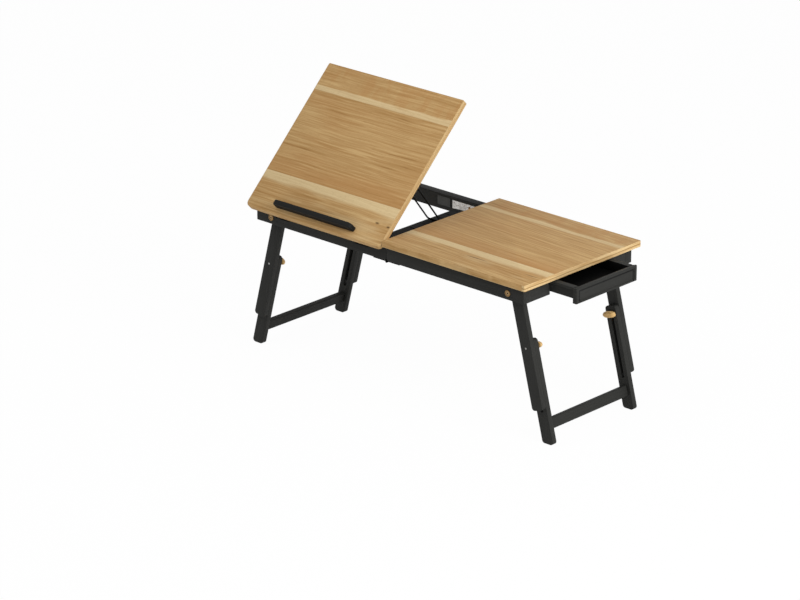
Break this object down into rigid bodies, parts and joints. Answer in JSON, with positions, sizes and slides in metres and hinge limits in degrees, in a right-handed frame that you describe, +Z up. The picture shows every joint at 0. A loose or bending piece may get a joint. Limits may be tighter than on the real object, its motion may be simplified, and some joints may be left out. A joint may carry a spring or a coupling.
{
  "type": "lap_desk",
  "caption": "Folding wooden bed desk on splayed slotted leg frames, with a tilting reading half held by a wire prop and a small side drawer",
  "frame": {"origin": "standing plane, midway between the front and rear edges of the desk, at the centre fold", "axes": "+X along the desk towards the drawer end, +Y to the rear, +Z up"},
  "size_m": [0.8195, 0.3499, 0.5514],
  "materials": {
    "bamboo_top": "satin",
    "black_wood": "satin",
    "knob_wood": "satin",
    "drawer_wood": "matte",
    "bronze_bolt": "brushed",
    "black_wire": "gloss",
    "bright_steel": "brushed",
    "grey_magnet": "matte",
    "black_plastic": "matte"
  },
  "bodies": {
    "right_half": {"fixed_top": "bamboo_top", "right_front_rail": "black_wood", "right_rear_rail": "black_wood", "right_front_end_board": "black_wood", "right_rear_end_board": "black_wood", "front_drawer_runner": "drawer_wood", "rear_drawer_runner": "drawer_wood", "drawer_stop": "drawer_wood", "right_leg_catches": "grey_magnet", "right_pivot_bolts": "bronze_bolt", "right_pivot_nuts": "bright_steel", "right_pivot_washers": "bright_steel", "right_front_fold_leaf": "bright_steel", "right_rear_fold_leaf": "bright_steel", "fold_hinge_pins": "bright_steel"},
    "left_half": {"left_front_rail": "black_wood", "left_rear_rail": "black_wood", "left_end_board": "black_wood", "prop_rack": "black_wire", "rail_plates": "bright_steel", "left_leg_catches": "grey_magnet", "left_pivot_bolts": "bronze_bolt", "left_pivot_nuts": "bright_steel", "left_pivot_washers": "bright_steel", "left_front_fold_leaf": "bright_steel", "left_rear_fold_leaf": "bright_steel", "tilt_hinge_rail_leaves": "bright_steel", "tilt_hinge_pins": "bright_steel"},
    "tilt_desk": {"tilt_top": "bamboo_top", "stop_ledge": "black_wood", "tilt_hinge_desk_leaves": "bright_steel", "prop_clips": "black_plastic"},
    "prop": {"wire_prop": "black_wire"},
    "drawer": {"drawer_front": "black_wood", "drawer_front_side": "black_wood", "drawer_rear_side": "black_wood", "drawer_back": "black_wood", "drawer_floor": "drawer_wood"},
    "left_legs": {"left_front_upper_leg": "black_wood", "left_rear_upper_leg": "black_wood", "left_height_bolts": "bright_steel"},
    "left_feet": {"left_front_lower_leg": "black_wood", "left_rear_lower_leg": "black_wood", "left_rung": "black_wood"},
    "left_front_knob": {"left_front_knob": "knob_wood"},
    "left_rear_knob": {"left_rear_knob": "knob_wood"},
    "right_legs": {"right_front_upper_leg": "black_wood", "right_rear_upper_leg": "black_wood", "right_height_bolts": "bright_steel"},
    "right_feet": {"right_front_lower_leg": "black_wood", "right_rear_lower_leg": "black_wood", "right_rung": "black_wood"},
    "right_front_knob": {"right_front_knob": "knob_wood"},
    "right_rear_knob": {"right_rear_knob": "knob_wood"}
  },
  "joints": [
    {"name": "centre_fold", "type": "hinge", "parent": "right_half", "child": "left_half", "pos_m": [0, 0, 0.2796], "axis": [0, -1, 0], "range_deg": [0, 100]},
    {"name": "desk_tilt", "type": "hinge", "parent": "left_half", "child": "tilt_desk", "pos_m": [-0.18, -0.159, 0.311], "axis": [1, 0, 0], "range_deg": [-44.5, 10.4]},
    {"name": "prop_swing", "type": "hinge", "parent": "tilt_desk", "child": "prop", "pos_m": [-0.036, -0.05679, 0.40674], "axis": [1, 0, 0], "range_deg": [-24, 99]},
    {"name": "drawer_slide", "type": "slide", "parent": "right_half", "child": "drawer", "axis": [1, 0, 0], "range_m": [-0.0605, 0.099]},
    {"name": "right_legs_fold", "type": "hinge", "parent": "right_half", "child": "right_legs", "pos_m": [0.3105, 0, 0.294], "axis": [0, 1, 0], "range_deg": [0, 104.6]},
    {"name": "right_height_slide", "type": "slide", "parent": "right_legs", "child": "right_feet", "axis": [0.2521, 0, -0.9677], "range_m": [-0.109, 0]},
    {"name": "right_front_knob_turn", "type": "hinge", "parent": "right_legs", "child": "right_front_knob", "pos_m": [0.33898, -0.107, 0.18465], "axis": [0, -1, 0], "continuous": true},
    {"name": "right_rear_knob_turn", "type": "hinge", "parent": "right_legs", "child": "right_rear_knob", "pos_m": [0.33898, 0.107, 0.18465], "axis": [0, 1, 0], "continuous": true},
    {"name": "left_legs_fold", "type": "hinge", "parent": "left_half", "child": "left_legs", "pos_m": [-0.3105, 0, 0.294], "axis": [0, -1, 0], "range_deg": [0, 104.6]},
    {"name": "left_height_slide", "type": "slide", "parent": "left_legs", "child": "left_feet", "axis": [-0.2521, 0, -0.9677], "range_m": [-0.109, 0]},
    {"name": "left_front_knob_turn", "type": "hinge", "parent": "left_legs", "child": "left_front_knob", "pos_m": [-0.33898, -0.107, 0.18465], "axis": [0, -1, 0], "continuous": true},
    {"name": "left_rear_knob_turn", "type": "hinge", "parent": "left_legs", "child": "left_rear_knob", "pos_m": [-0.33898, 0.107, 0.18465], "axis": [0, 1, 0], "continuous": true}
  ],
  "couplings": [
    {"joint": "prop_swing", "follows": "desk_tilt", "ratio": -2.2}
  ]
}
